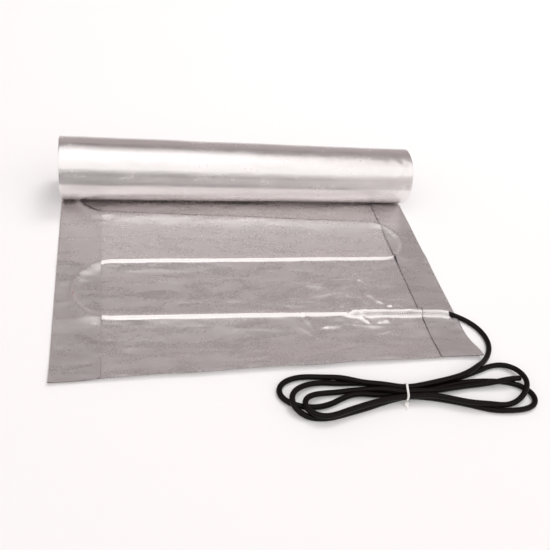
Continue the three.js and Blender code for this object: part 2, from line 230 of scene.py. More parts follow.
def make_piece(name, points, faces, materials, uv=None, face_material=None, sharp=35):
    """Puts points, in metres, and faces into a mesh. The faces are turned round if the volume that
    they close, the sum of each face's corner products, comes out negative."""
    points = np.asarray(points, float)
    faces = [tuple(face) for face in faces]
    quads = np.array([face for face in faces if len(face) == 4])
    a, b, c, d = (points[quads[:, i]] for i in range(4))
    volume = np.sum(np.cross(a, b) * c) + np.sum(np.cross(a, c) * d)
    if volume < 0:
        faces = [face[::-1] for face in faces]
    mesh = bpy.data.meshes.new(name)
    mesh.from_pydata(points.tolist(), [], faces)
    mesh.polygons.foreach_set("use_smooth", np.ones(len(faces), bool))
    mesh.set_sharp_from_angle(angle=math.radians(sharp))
    if uv is not None:
        loops = np.zeros(len(mesh.loops), np.int32)
        mesh.loops.foreach_get("vertex_index", loops)
        layer = mesh.uv_layers.new(name="web")
        layer.data.foreach_set("uv", np.asarray(uv, float)[loops].ravel())
    for material in materials:
        mesh.materials.append(material)
    if face_material is not None:
        mesh.polygons.foreach_set("material_index", np.asarray(face_material, np.int32))
    piece = bpy.data.objects.new(name, mesh)
    bpy.context.scene.collection.objects.link(piece)
    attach(piece, "root")
    return piece


def lattice_noise(x, y, scale, seed):
    """Smooth noise from -1 to 1: random values on a square lattice, blended between the four nearest
    by the curve 3t^2 - 2t^3 each way."""
    values = np.random.default_rng(seed).uniform(-1, 1, (64, 64))
    gx, gy = np.asarray(x) / scale, np.asarray(y) / scale
    ix, iy = np.floor(gx).astype(int), np.floor(gy).astype(int)
    tx, ty = gx - ix, gy - iy
    tx, ty = tx * tx * (3 - 2 * tx), ty * ty * (3 - 2 * ty)
    low = values[ix % 64, iy % 64] * (1 - tx) + values[(ix + 1) % 64, iy % 64] * tx
    high = values[ix % 64, (iy + 1) % 64] * (1 - tx) + values[(ix + 1) % 64, (iy + 1) % 64] * tx
    return low * (1 - ty) + high * ty


def smooth_step(low, high, value):
    """0 below low, 1 above high, and 3t^2 - 2t^3 between."""
    t = np.clip((value - low) / (high - low), 0, 1)
    return t * t * (3 - 2 * t)


# Materials

def new_material(name, colour, roughness, metallic=0.0):
    material = bpy.data.materials.new(name)
    material.use_nodes = True
    shader = material.node_tree.nodes["Principled BSDF"]
    shader.inputs["Base Color"].default_value = (*colour, 1)
    shader.inputs["Roughness"].default_value = roughness
    shader.inputs["Metallic"].default_value = metallic
    return material, material.node_tree, shader


def add_node(tree, kind, inputs=(), **settings):
    """Adds a node. Inputs are pairs of a socket's name or number and a value or another socket."""
    node = tree.nodes.new(kind)
    for key, value in settings.items():
        setattr(node, key, value)
    for socket, value in inputs:
        if isinstance(value, bpy.types.NodeSocket):
            tree.links.new(value, node.inputs[socket])
        else:
            node.inputs[socket].default_value = value
    return node


def noise_of(tree, vector, scale, detail=3.0, distortion=0.0):
    node = add_node(tree, "ShaderNodeTexNoise", [
        ("Vector", vector), ("Scale", scale), ("Detail", detail), ("Distortion", distortion),
    ])
    return node.outputs["Fac"]


def math_of(tree, operation, first, second=0.0):
    return add_node(tree, "ShaderNodeMath", [(0, first), (1, second)], operation=operation).outputs[0]


def spread_of(tree, value, low, high, from_low=0.3, from_high=0.7):
    node = add_node(tree, "ShaderNodeMapRange", [
        ("Value", value), ("From Min", from_low), ("From Max", from_high),
        ("To Min", low), ("To Max", high),
    ])
    return node.outputs["Result"]


def bump_of(tree, height, strength, distance, normal=None):
    inputs = [("Height", height), ("Strength", strength), ("Distance", distance)]
    if normal is not None:
        inputs.append(("Normal", normal))
    return add_node(tree, "ShaderNodeBump", inputs).outputs["Normal"]


def foil_material(name, settings, dull=0.0, crinkle=1.0, shade=1.0, thread=0.00012):
    """Bright foil over a diagonal scrim: threads are the crests of two sine waves that cross at right
    angles, over crinkles of three sizes, with uneven gloss."""
    colour = [channel * shade for channel in settings.foil_colour]
    roughness = settings.foil_roughness + dull
    material, tree, shader = new_material(name, colour, roughness, 1.0)
    web = add_node(tree, "ShaderNodeTexCoord").outputs["UV"]
    parts = add_node(tree, "ShaderNodeSeparateXYZ", [("Vector", web)])
    turns = 2 * math.pi / (settings.scrim_pitch * math.sqrt(2))
    x, y = parts.outputs[0], parts.outputs[1]
    along = math_of(tree, "MULTIPLY", math_of(tree, "ADD", x, y), turns)
    across = math_of(tree, "MULTIPLY", math_of(tree, "SUBTRACT", x, y), turns)
    scrim = math_of(tree, "MAXIMUM", math_of(tree, "SINE", along), math_of(tree, "SINE", across))
    drawn_out = add_node(tree, "ShaderNodeMapping", [("Vector", web), ("Scale", (0.3, 1.0, 1.0))])
    broad = noise_of(tree, drawn_out.outputs[0], 75, 3, 0.6)
    fine = noise_of(tree, web, 190, 3)
    grain = noise_of(tree, web, 620, 2)
    uneven = spread_of(tree, broad, roughness - 0.07, roughness + 0.09)
    uneven = math_of(tree, "ADD", uneven, spread_of(tree, fine, -0.04, 0.05))
    tree.links.new(uneven, shader.inputs["Roughness"])
    tint = add_node(tree, "ShaderNodeMix", [
        (0, spread_of(tree, broad, 0.0, 1.0)),
        (6, (*[channel * 0.93 for channel in colour], 1)), (7, (*colour, 1)),
    ], data_type="RGBA")
    tree.links.new(tint.outputs[2], shader.inputs["Base Color"])
    normal = bump_of(tree, broad, 0.3 * crinkle, 0.0004)
    normal = bump_of(tree, fine, 0.24 * crinkle, 0.00016, normal)
    normal = bump_of(tree, grain, 0.4 * crinkle, 0.00007, normal)
    normal = bump_of(tree, scrim, 0.6, thread, normal)
    tree.links.new(normal, shader.inputs["Normal"])
    return material


def jacket_material(name, colour, roughness, grain=0.00004, gloss=0.5):
    """Moulded or extruded plastic: a fine skin, dull patches and faint handling marks."""
    material, tree, shader = new_material(name, colour, roughness)
    shader.inputs["Specular IOR Level"].default_value = gloss
    place = add_node(tree, "ShaderNodeTexCoord").outputs["Object"]
    skin = noise_of(tree, place, 2200, 3)
    patches = noise_of(tree, place, 70, 4)
    uneven = spread_of(tree, patches, roughness - 0.07, roughness + 0.09)
    tree.links.new(uneven, shader.inputs["Roughness"])
    tint = add_node(tree, "ShaderNodeMix", [
        (0, spread_of(tree, patches, 0.0, 1.0)),
        (6, (*[channel * 0.82 for channel in colour], 1)),
        (7, (*[min(channel * 1.12, 1) for channel in colour], 1)),
    ], data_type="RGBA")
    tree.links.new(tint.outputs[2], shader.inputs["Base Color"])
    tree.links.new(bump_of(tree, skin, 0.4, grain), shader.inputs["Normal"])
    return material


# Cold lead

def on_sight_line(points, heights):
    """Points seen on the plane of SIGHT_HEIGHT, moved along their line of sight to their height."""
    flat = np.column_stack([np.asarray(points, float), np.full(len(points), SIGHT_HEIGHT)])
    share = (np.asarray(heights) - SIGHT_HEIGHT) / (EYE[2] - SIGHT_HEIGHT)
    return flat + share[:, None] * (EYE - flat)


def spline(points, spacing):
    """A Catmull-Rom curve through the points, cut into pieces of about the given length: between
    two points the curve is the cubic whose ends lean as their neighbours lie."""
    padded = np.vstack([2 * points[0] - points[1], points, 2 * points[-1] - points[-2]])
    t = np.linspace(0, 1, 24, endpoint=False)[None, :, None]
    p0, p1, p2, p3 = (padded[i:len(padded) - 3 + i][:, None, :] for i in range(4))
    curve = 0.5 * (2 * p1 + (p2 - p0) * t + (2 * p0 - 5 * p1 + 4 * p2 - p3) * t ** 2
                   + (3 * p1 - p0 - 3 * p2 + p3) * t ** 3)
    curve = np.vstack([curve.reshape(-1, 3), points[-1:]])
    return evenly(curve, spacing)


def evenly(curve, spacing):
    run = np.concatenate([[0], np.cumsum(np.linalg.norm(np.diff(curve, axis=0), axis=1))])
    count = max(int(round(run[-1] / spacing)), 2)
    stops = np.linspace(0, run[-1], count + 1)
    return np.column_stack([np.interp(stops, run, curve[:, i]) for i in range(3)])


def settle(line, held, diameter, rounds, drop, hold, reaches):
    """Lets the lead lie: each round drops it a little, straightens it by its fourth difference, eases
    bends tighter than LEAST_BEND by their second difference, keeps it near its lines of sight and off
    the floor, and moves strands that are closer than a diameter apart from each other by half of what
    is missing. Held points stay where they are."""
    radius = diameter / 2
    start = line.copy()
    sight = EYE - start
    sight /= np.linalg.norm(sight, axis=1)[:, None]
    spacing = np.linalg.norm(line[1] - line[0])
    number = np.arange(len(line))
    far = (number[None, :] - number[:, None]) > 3.2 * diameter / spacing
    free = ~held
    stride = max(int(round(8 / spacing)), 1)
    for _ in range(rounds):
        line[free, 2] -= drop
        for reach in reaches:
            onward = np.arange(1, 2 * reach + 1)[:, None] * (line[-1] - line[-1 - reach]) / reach
            longer = np.vstack([line, line[-1] + onward])
            shifted = [longer[i * reach:len(longer) - (4 - i) * reach] for i in range(5)]
            bend = shifted[0] - 4 * shifted[1] + 6 * shifted[2] - 4 * shifted[3] + shifted[4]
            line[2 * reach:] -= bend / 16 * free[2 * reach:, None]
        turn = line[:-2 * stride] - 2 * line[stride:-stride] + line[2 * stride:]
        bend_radius = (stride * spacing) ** 2 / np.maximum(np.linalg.norm(turn, axis=1), 1e-6)
        tight = np.clip(1 - bend_radius / LEAST_BEND, 0, 1)
        line[stride:-stride] += 0.35 * (tight * free[stride:-stride])[:, None] * turn
        eased = np.minimum(np.convolve(np.pad(tight, stride), np.ones(4 * stride + 1), "same"), 1)
        offset = line - start
        offset -= np.sum(offset * sight, axis=1)[:, None] * sight
        line -= hold * offset * (free * (1 - 0.3 * eased))[:, None]
        gap = line[None, :, :] - line[:, None, :]
        distance = np.linalg.norm(gap, axis=2)
        one, other = np.nonzero(far & (distance < diameter))
        apart = distance[one, other][:, None]
        push = gap[one, other] / apart * (diameter - apart)
        one_moves = np.where(free[one], np.where(free[other], 0.5, 1.0), 0.0)[:, None]
        other_moves = np.where(free[other], np.where(free[one], 0.5, 1.0), 0.0)[:, None]
        move = np.zeros_like(line)
        count = np.ones(len(line))
        np.add.at(move, one, -push * one_moves)
        np.add.at(move, other, push * other_moves)
        np.add.at(count, one, 0.5)
        np.add.at(count, other, 0.5)
        line += move / count[:, None]
        line[:, 2] = np.maximum(line[:, 2], radius + FLOOR_GAP)
        line[held] = start[held]
    return line


def lead_line(diameter):
    """The lead's centre line from the sleeve to its cut end, settled on the floor and on itself."""
    stretches = [
        (LEAD_OUT, "out"), (LEFT_OUTER, "left_outer"), (RIGHT_LOWER, "right_lower"),
        (LEFT_MIDDLE, "left_middle"), (RIGHT_UPPER, "right_upper"), (LEFT_INNER, "left_inner"),
        (TAIL, "tail"),
    ]
    points = [np.array([LEAD_START])]
    for number, (seen, key) in enumerate(stretches):
        at, height = zip(*LEAD_HEIGHTS[key])
        heights = np.interp(np.arange(len(seen)), at, height)
        placed = on_sight_line(seen, heights)
        if number == 0:
            placed[:5, :2] = np.array(seen[:5])
            placed[:5, 2] = 4.4
        points.append(placed)
        if number < len(TIE_PASSES):
            y, z = TIE_PASSES[number]
            rightward = 1 if number % 2 else -1
            points.append(np.array([[TIE_X - rightward * 3, y, z], [TIE_X + rightward * 3, y, z]]))
    line = spline(np.vstack(points), STRETCH_SPACING)
    # Spacing, rounds, drop, hold, slack between strands, and reaches of the straightening.
    passes = ((STRETCH_SPACING, 450, 0.06, 0.11, 0.35, (1, 2)), (2.5, 220, 0.01, 0.07, 0.14, (1, 2, 3)))
    for spacing, rounds, drop, hold, slack, reaches in passes:
        line = spline(line, spacing) if spacing < STRETCH_SPACING else line
        near_tie = (np.abs(line[:, 0] - TIE_X) < 5.5) & (line[:, 1] < -355)
        foiled = np.arange(len(line)) * spacing < 52
        line = settle(line, near_tie | foiled, diameter + slack, rounds, drop, hold, reaches)
    return spline(line, 1.6)


def tube_mesh(line, radius, sides):
    """Rings round a line: each ring's side direction is level, square to the line, and its up direction
    is square to both. The last end is rounded over to a flat face; the first end is closed flat."""
    along = np.gradient(line, axis=0)
    along /= np.linalg.norm(along, axis=1)[:, None]
    side = np.cross(along, [0.0, 0.0, 1.0])
    side /= np.linalg.norm(side, axis=1)[:, None]
    up = np.cross(side, along)
    angle = 2 * np.pi * np.arange(sides) / sides
    ring = np.cos(angle)[None, :, None] * side[:, None] + np.sin(angle)[None, :, None] * up[:, None]
    rings = line[:, None] + ring * radius
    edge = line[-1] + along[-1] * 0.45
    inner = line[-1] - along[-1] * 0.6
    rings = np.concatenate([rings, [edge + ring[-1] * (radius - 0.35), edge + ring[-1] * (radius - 0.95),
                                    inner + ring[-1] * (radius - 1.05)]])
    count = len(rings)
    faces = grid_quads(count, sides, close_columns=True).tolist()
    faces.append(list(range(sides))[::-1])
    faces.append([(count - 1) * sides + i for i in range(sides)])
    return rings.reshape(-1, 3), faces


def strap_hull(centres, radius, angle):
    """The line of a strap pulled tight round circles: for each direction, the point of the circle that
    reaches furthest that way."""
    direction = np.column_stack([np.cos(angle), np.sin(angle)])
    furthest = np.argmax(direction @ centres.T, axis=1)
    return centres[furthest] + radius * direction, direction


def rounded_block(centre, half, power=0.42, rows=14, columns=24):
    """A block with soft edges: a sphere whose sines and cosines are raised to a power below 1, which
    pushes it out towards its corners."""
    latitude = np.linspace(-math.pi / 2, math.pi / 2, rows)[1:-1, None]
    longitude = 2 * math.pi * np.arange(columns)[None, :] / columns
    soft = lambda value: np.sign(value) * np.abs(value) ** power
    x = soft(np.cos(latitude)) * soft(np.cos(longitude))
    y = soft(np.cos(latitude)) * soft(np.sin(longitude))
    z = soft(np.sin(latitude)) * np.ones_like(longitude)
    points = np.stack([x, y, z], -1).reshape(-1, 3)
    faces = grid_quads(rows - 2, columns, close_columns=True).tolist()
    faces.append(list(range(columns))[::-1])
    faces.append([(rows - 3) * columns + i for i in range(columns)])
    return points * half + centre, faces


def joined(parts):
    """One list of points and faces from several."""
    points, faces, start = [], [], 0
    for part_points, part_faces in parts:
        points.append(part_points)
        faces += [[index + start for index in face] for face in part_faces]
        start += len(part_points)
    return np.vstack(points), faces


def tie_mesh(lead_radius):
    """The strap round the hank, its head at the lower front, and its cut tail."""
    sides = 72
    angle = 2 * np.pi * np.arange(sides) / sides
    centres = np.array(TIE_PASSES)
    hull, direction = strap_hull(centres, lead_radius + 0.1, angle)
    width, out = STRAP_SECTION[None, :, 0], STRAP_SECTION[None, :, 1]
    y = hull[:, None, 0] + direction[:, None, 0] * out
    z = hull[:, None, 1] + direction[:, None, 1] * out
    x = TIE_X - 1 + STRAP_LEAN * (y - centres[0, 0]) + width
    strap = np.stack([x, y, np.maximum(z, 0.12)], -1).reshape(-1, 3)
    strap_faces = grid_quads(sides, len(STRAP_SECTION), close_rows=True, close_columns=True).tolist()
    front = hull[:, 0].min()
    head = rounded_block((TIE_HEAD_X, front - 1.6, 3.1), (2.5, 2.2, 2.3))
    throat = rounded_block((TIE_HEAD_X, front - 3.2, 3.1), (1.5, 1.0, 1.2))
    tail = rounded_block((TIE_HEAD_X, front - 5.2, 3.3), (1.25, 2.2, 0.5), 0.3)
    return joined([(strap, strap_faces), head, throat, tail])


# Foils

def line_at(line, x):
    return np.interp(x, line[0], line[1])


def front_edge(x):
    """The front edge of the mat: a straight line, a little askew, with a slow wave."""
    askew = -LAID_LENGTH + FRONT_SKEW * (x + HALF_WIDTH) / (2 * HALF_WIDTH)
    return askew + 0.9 * lattice_noise(x, np.zeros_like(x), 46, 5)


def web_rows():
    """Where the rows of a foil lie between its five lines: front edge, front run, middle run, last run
    and nip. Each is given as the line's number plus the share of the way to the next, and they are
    close together where a ridge rises."""
    # Length, first and last step, and how far from a line the steps are still close.
    spans = [(80, 1.2, 0.75, 14), (97, 0.7, 0.62, 12), (90, 0.62, 0.62, 9), (40, 0.62, 1.1, 9)]
    rows = []
    for number, (span, first, last, near) in enumerate(spans):
        positions = [0.0]
        while positions[-1] < span - 0.4:
            left, right = positions[-1], span - positions[-1]
            step = ROW_STEP
            if left < near:
                step = min(step, first + (ROW_STEP - first) * (left / near) ** 2)
            if right < near:
                step = min(step, last + (ROW_STEP - last) * (right / near) ** 2)
            positions.append(positions[-1] + step)
        rows.append(number + np.array(positions[:-1]) / positions[-1])
    return np.append(np.concatenate(rows), 4.0)


def web_y(x, rows):
    """Y of each row at each x, on straight lines between the five lines of web_rows."""
    lines = np.stack([front_edge(x), line_at(FRONT_RUN, x), line_at(MIDDLE_RUN, x), line_at(LAST_RUN, x),
                      np.full_like(x, NIP_Y)])
    number = np.minimum(rows.astype(int), 3)
    share = (rows - number)[:, None]
    return lines[number] * (1 - share) + lines[number + 1] * share


# Creases in the cover foil, as two ends, height and half width.
CREASES = np.array([
    (58, -284, 46, -240, 0.5, 1.6), (118, -252, 130, -266, 1.6, 2.4), (96, -262, 150, -270, 0.5, 2.6),
    (60, -268, 92, -266, 0.7, 2.0), (70, -262, 74, -272, 0.5, 1.6), (138, -262, 158, -263, 1.1, 2.6),
    (86, -232, 132, -196, 0.7, 2.2), (100, -200, 146, -236, 0.6, 2.0), (128, -204, 178, -244, 0.8, 2.6),
    (60, -214, 118, -206, 0.5, 2.4), (20, -220, 84, -222, 0.45, 2.6), (150, -198, 132, -172, 0.6, 2.0),
    (112, -184, 136, -160, 0.5, 1.6), (60, -176, 64, -150, 0.45, 1.6), (94, -188, 150, -182, 0.5, 2.6),
    (150, -226, 196, -222, 0.5, 3.0), (40, -190, 92, -196, 0.4, 2.6), (-20, -222, 60, -232, 0.35, 3.0),
    (80, -240, 120, -226, 0.7, 2.2), (144, -240, 186, -232, 0.6, 2.2), (30, -262, 66, -290, 0.5, 2.2),
    (104, -282, 168, -276, 0.4, 3.0), (150, -176, 186, -160, 0.4, 2.4), (70, -204, 100, -176, 0.45, 2.0),
    (-190, -216, 10, -219, 0.28, 1.4), (-190, -181, 60, -179, 0.2, 2.4),
    (-190, -160, -40, -163, 0.22, 2.4),
    (56, -285, 55, -310, 0.25, 0.8), (55, -309, 100, -304, 0.25, 0.8), (100, -304, 105, -324, 0.25, 0.8),
    (76, -266, 77.5, -302, 0.25, 0.8), (77.5, -301, 136, -298, 0.25, 0.8),
    (-120, -296, -20, -300, 0.25, 4.0), (-60, -262, 30, -270, 0.3, 4.0), (-190, -90, 60, -96, 0.3, 5.0),
])


def creases_at(x, y):
    """The sum of the creases: each is a bell curve of the distance to its line, and fades at its ends."""
    total = np.zeros_like(x)
    for x0, y0, x1, y1, height, width in CREASES:
        length = math.hypot(x1 - x0, y1 - y0)
        ux, uy = (x1 - x0) / length, (y1 - y0) / length
        along = (x - x0) * ux + (y - y0) * uy
        across = (y - y0) * ux - (x - x0) * uy
        across = across + 1.6 * lattice_noise(along, np.full_like(along, x0), 17, 11)
        fade = smooth_step(-4, 0.3 * length, along) * smooth_step(-4, 0.3 * length, length - along)
        total += height * fade * np.exp(-(across / (0.8 * width)) ** 2)
    return total


def turn_ridge(x, y, narrow, wide):
    """Ridge over the cable's half turns, from 0 to 1: a bell curve of the distance to the turn, wide on
    the side that faces the front edge and narrow on the other. Near the last run it is wide anyway."""
    ridge = np.zeros_like(x)
    for centre_x, centre_y, radius, side in TURNS:
        out = np.hypot(x - centre_x, y - centre_y)
        away = out - radius
        facing = -np.sign(away) * (y - centre_y) / np.maximum(out, 1e-6)
        width = narrow + (np.where(y > -90, 10.0, wide) - narrow) * np.clip(facing, 0, 1)
        bell = np.exp(-(away / width) ** 2) * ((x - centre_x) * side >= 0)
        ridge = np.maximum(ridge, bell)
    return ridge


def foil_height(x, y, ridge_height, base, hem):
    """Height of a foil's top: ridges over the cable and a fat ridge over the sleeve and lead, on broad
    tents that slope down towards the front, plus creases, waves and a lifted front edge."""
    bell = lambda distance, width, power=2.0: np.exp(-np.abs(distance / width) ** power)
    width = 1.9 if hem else 2.3
    on_runs = (x > RUN_LEFT) & (x < RUN_RIGHT)
    front_line = y - line_at(FRONT_RUN, x)
    middle_line = y - line_at(MIDDLE_RUN, x)
    last_line = y - line_at(LAST_RUN, x)
    # Ridges over the cable. The last run's is steep behind and slopes gently to the front.
    cable = turn_ridge(x, y, 2.0, 11.0 if hem else 2.0)
    steep = last_line - 0.5
    cable = np.maximum(cable, bell(steep, np.where(steep < 0, 14.0, 2.6)) * on_runs)
    cable = np.maximum(cable, bell(middle_line, width) * on_runs)
    cable = np.maximum(cable, bell(front_line, width) * (on_runs & (x < SLEEVE_X[0] + 6)))
    ridge = (ridge_height - (0.5 if hem else 0.0)) * cable
    # The fat ridge over the sleeve and the lead, up to where the lead comes out.
    lumps = 1 + 0.07 * lattice_noise(x, y, 11, 31) + 0.05 * lattice_noise(x, y, 5, 32)
    sleeve = smooth_step(SLEEVE_X[0] - 9, SLEEVE_X[0] + 9, x)
    thinner = 1 - 0.1 * smooth_step(SLEEVE_X[1] - 2, SLEEVE_X[1] + 10, x)
    fat = SLEEVE_RIDGE * sleeve * thinner * bell(front_line, np.where(front_line < 0, 5.2, 6.3), 2.8)
    fat *= np.maximum(lumps, 0.97)
    fat *= 1 - smooth_step(LEAD_OUT_X + 1.0, LEAD_OUT_X + 3.0, x)
    ridge = np.maximum(ridge, fat)
    # Broad tents along the runs, which wander a little.
    wobble = 0.5 * lattice_noise(x, y, 60, 21)
    front = front_line + wobble * (x < SLEEVE_X[0])
    middle = middle_line + 1.6 * lattice_noise(x, np.zeros_like(x), 90, 22)
    last = last_line + wobble
    tent = 0.0
    for distance, lift in ((front, 1.3), (middle, 1.5), (last, 0.7)):
        slope = np.where(distance < 0, 17.0, 9.0)
        tent = tent + lift * bell(distance, slope, 1.6)
    body = smooth_step(0, 12, -y - 12)
    waves = 0.5 * lattice_noise(x, y, 75, 41) + 0.3 * lattice_noise(x * 0.3, y, 17, 42)
    waves += 0.19 * lattice_noise(x * 0.3, y, 6.5, 43) + 0.1 * lattice_noise(x * 0.4, y, 3.6, 46)
    rough_zone = bell(x - 120, 95) * bell(y + 225, 62)
    waves += rough_zone * (0.7 * lattice_noise(x, y, 16, 44) + 0.3 * lattice_noise(x, y, 7, 45))
    top = base + ridge + body * (tent + np.maximum(waves + 0.45, 0) + 1.5 * creases_at(x, y))
    edge = y - front_edge(x)
    lift = (3.6 + 1.4 * lattice_noise(x, np.zeros_like(x), 58, 51)) * smooth_step(-215, -190, x)
    lift = lift + 2.0 * (1 - smooth_step(-215, -190, x))
    top = top + lift * np.exp(-(edge / 26) ** 2)
    if hem:
        top = top + 0.5 * bell(x - LEFT_SEAM, 1.8) + 0.5 * bell(x - RIGHT_SEAM, 1.8)
        top = top + 0.9 * bell(np.abs(x) - HALF_WIDTH, 3.5) * body
    # The corner lifts, and nothing rises into the roll.
    corner = np.exp(-((x - HALF_WIDTH) / 20) ** 2 - (edge / 18) ** 2)
    top = top + 1.5 * corner
    under_roll = ROLL_RADIUS - np.sqrt(np.maximum(ROLL_RADIUS ** 2 - np.minimum(y, 0) ** 2, 0))
    under_roll = np.where(y > -ROLL_RADIUS, under_roll, 99)
    ceiling = np.maximum(under_roll - (0.25 if hem else 0.55), base * 0.9)
    return np.minimum(top, ceiling)


def corner_pull(x, y):
    """The right front corner is drawn out to a point: it moves out and forward near the corner."""
    near = np.exp(-((x - HALF_WIDTH) / 22) ** 2 - ((y - front_edge(x)) / 24) ** 2)
    return 7.5 * near, -2.5 * near


def cover_mesh(ridge_height):
    """The cover foil as a thin closed shell: its top is foil_height over a grid, lowered under the
    hems, and its underside is the same surface a foil's thickness lower."""
    x = np.linspace(LEFT_SEAM - HEM_TUCK, RIGHT_SEAM + HEM_TUCK, 162)
    rows = web_rows()
    y = web_y(x, rows)
    across = np.broadcast_to(x, y.shape)
    top = foil_height(across, y, ridge_height, COVER_BASE, False)
    under_left = 1 - smooth_step(LEFT_SEAM - 2.5, LEFT_SEAM + 0.5, across)
    under_right = smooth_step(RIGHT_SEAM - 0.5, RIGHT_SEAM + 2.5, across)
    top = top - 0.42 * (under_left + under_right) * np.clip(top - 0.75, 0, 1)
    sheet = np.stack([across, y, top], -1)
    below = sheet - (0, 0, FOIL_THICKNESS)
    points = np.concatenate([sheet, below[:, ::-1]], 1)
    faces = np.concatenate([grid_quads(len(rows), 2 * len(x), close_columns=True),
                            shell_caps(len(rows), 2 * len(x))])
    return points, faces


def lower_mesh(ridge_height):
    """The lower foil as a thin closed shell. Its section runs from the left seam out along the hem's
    top, round the fold, under the mat, round the other fold and in to the right seam, and comes back
    a foil's thickness inside."""
    fold_x = HALF_WIDTH - FOLD_INSET
    left = np.linspace(LEFT_SEAM, -fold_x, 24)
    right = np.linspace(fold_x, RIGHT_SEAM, 22)
    under = np.linspace(-fold_x, fold_x, 62)
    fold = np.linspace(0, math.pi, 9)[1:-1]
    rows = web_rows()
    x = np.concatenate([
        left, np.full(len(fold), -HALF_WIDTH), under, np.full(len(fold), HALF_WIDTH), right,
    ])
    y = web_y(x, rows)
    in_rows = lambda values: np.broadcast_to(values, (len(rows), len(values)))
    top_left = foil_height(in_rows(left), y[:, :len(left)], ridge_height, HEM_BASE, True)
    top_right = foil_height(in_rows(right), y[:, -len(right):], ridge_height, HEM_BASE, True)
    # The underside lies on the floor, and follows the cover where the front edge lifts.
    under_y = y[:, len(left) + len(fold):][:, :len(under)]
    lifted = foil_height(in_rows(under), under_y, 0.0, 0.0, False)
    edge = under_y - front_edge(under)
    floor = 0.04 + np.clip(lifted, 0, 7) * np.exp(-(edge / 16) ** 2)

    def folded(top, bottom, side):
        middle = (top[:, None] + bottom[:, None]) / 2
        half = (top[:, None] - bottom[:, None]) / 2
        bulge = FOLD_BULGE * np.sin(fold)[None, :]
        return side * (fold_x + bulge), middle + half * np.cos(fold)[None, :]

    left_x, left_z = folded(top_left[:, -1], floor[:, 0], -1)
    right_x, right_z = folded(top_right[:, 0], floor[:, -1], 1)
    section_x = np.concatenate([
        in_rows(left), in_rows(left_x[0]), in_rows(under), in_rows(right_x[0])[:, ::-1], in_rows(right),
    ], 1)
    section_z = np.concatenate([top_left, left_z, floor, right_z[:, ::-1], top_right], 1)
    slope_x = np.gradient(section_x, axis=1)
    slope_z = np.gradient(section_z, axis=1)
    length = np.hypot(slope_x, slope_z)
    inner_x = section_x - FOIL_THICKNESS * slope_z / length
    inner_z = section_z + FOIL_THICKNESS * slope_x / length
    outer = np.stack([section_x, y, section_z], -1)
    inner = np.stack([inner_x, y, inner_z], -1)
    points = np.concatenate([outer, inner[:, ::-1]], 1)
    faces = np.concatenate([grid_quads(len(rows), points.shape[1], close_columns=True),
                            shell_caps(len(rows), points.shape[1])])
    return points, faces


def finish_foil(name, points, faces, material, node, slot):
    """Draws out the corner, keeps the web's own place as the UV map, and makes the piece."""
    flat = points.reshape(-1, 3).copy()
    uv = flat[:, :2] * MM
    pull_x, pull_y = corner_pull(flat[:, 0], flat[:, 1])
    flat[:, 0] += pull_x * smooth_step(150, 230, flat[:, 0])
    flat[:, 1] += pull_y
    piece = make_piece(name, in_metres(flat), faces, [material], uv)
    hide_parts(node)
    return piece


